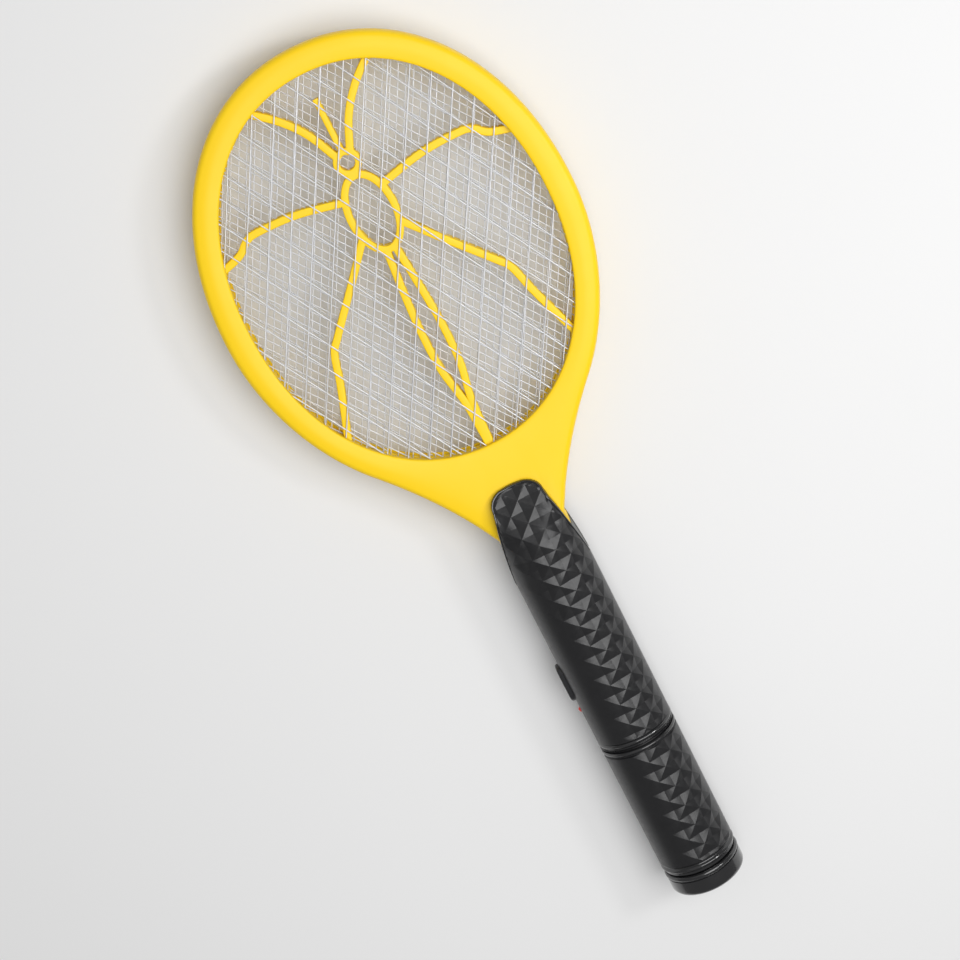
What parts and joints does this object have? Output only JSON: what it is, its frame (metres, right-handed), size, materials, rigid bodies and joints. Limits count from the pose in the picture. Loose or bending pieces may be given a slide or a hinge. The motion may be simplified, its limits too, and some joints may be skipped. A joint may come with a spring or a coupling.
{
  "type": "electric fly swatter",
  "caption": "Battery racket with an oval yellow frame, three wire grids held apart by ribs, and a round black textured handle with a push button and a screw-off end cap.",
  "frame": {"origin": "under the middle of the whole swatter, on the surface it lies on", "axes": "+Y from the butt of the handle to the top of the head, +Z out of the front face, +X to the right when seen from the front"},
  "size_m": [0.171, 0.44, 0.0384],
  "materials": {
    "frame_plastic": "satin yellow ABS",
    "grip_plastic": "satin black ABS with moulded pyramids",
    "mesh_wire": "galvanised wire",
    "screw_steel": "zinc plated",
    "button_plastic": "glossy black",
    "inner_plastic": "moulded black",
    "led_lens": "clear red",
    "board": "green solder mask",
    "ferrite": "sintered ferrite",
    "winding": "yellow tape over copper wire",
    "film_capacitor": "dipped red-brown epoxy",
    "ceramic_capacitor": "dipped blue epoxy",
    "component_black": "moulded epoxy",
    "resistor_body": "beige lacquer",
    "wire_red": "red PVC",
    "wire_black": "black PVC",
    "contact_metal": "nickel plated",
    "cell_wrap": "plain blue wrap"
  },
  "bodies": {
    "root": {"front_frame": "frame_plastic", "rear_frame": "frame_plastic", "front_grid": "mesh_wire", "middle_grid": "mesh_wire", "rear_grid": "mesh_wire", "front_rib_web": "frame_plastic", "rear_rib_web": "frame_plastic", "frame_screws": "screw_steel", "ground_link": "contact_metal", "upper_grip_front": "grip_plastic", "upper_grip_rear": "grip_plastic", "grip_screws": "screw_steel", "button_spring": "screw_steel", "tact_switch": "component_black", "indicator_led": "led_lens", "circuit_board": "board", "board_screws": "screw_steel", "transformer_core": "ferrite", "transformer_coil": "winding", "storage_capacitor": "film_capacitor", "multiplier_capacitors": "ceramic_capacitor", "hv_diodes": "component_black", "resistors": "resistor_body", "transistor": "component_black", "hv_lead": "wire_red", "ground_lead": "wire_black", "battery_lead_positive": "wire_red", "battery_lead_negative": "wire_black", "lower_barrel": "grip_plastic", "battery_liner": "inner_plastic", "terminal_disc": "inner_plastic", "positive_contact": "contact_metal", "negative_spring": "contact_metal", "battery_cell_a": "cell_wrap", "battery_cell_b": "cell_wrap"},
    "button": {"zap_button": "button_plastic"},
    "cap": {"end_cap": "grip_plastic", "contact_carrier": "inner_plastic", "bridge_plate": "contact_metal", "bridge_spring": "contact_metal"}
  },
  "joints": [
    {"name": "button_press", "type": "slide", "parent": "root", "child": "button", "axis": [1, 0, 0], "range_m": [0, 0.0015], "stiffness_N_per_m": 500, "springref_m": -0.002, "deforming": ["button_spring"]},
    {"name": "cap_unscrew", "type": "slide", "parent": "root", "child": "cap", "axis": [0, -1, 0], "range_m": [0, 0.03]}
  ]
}
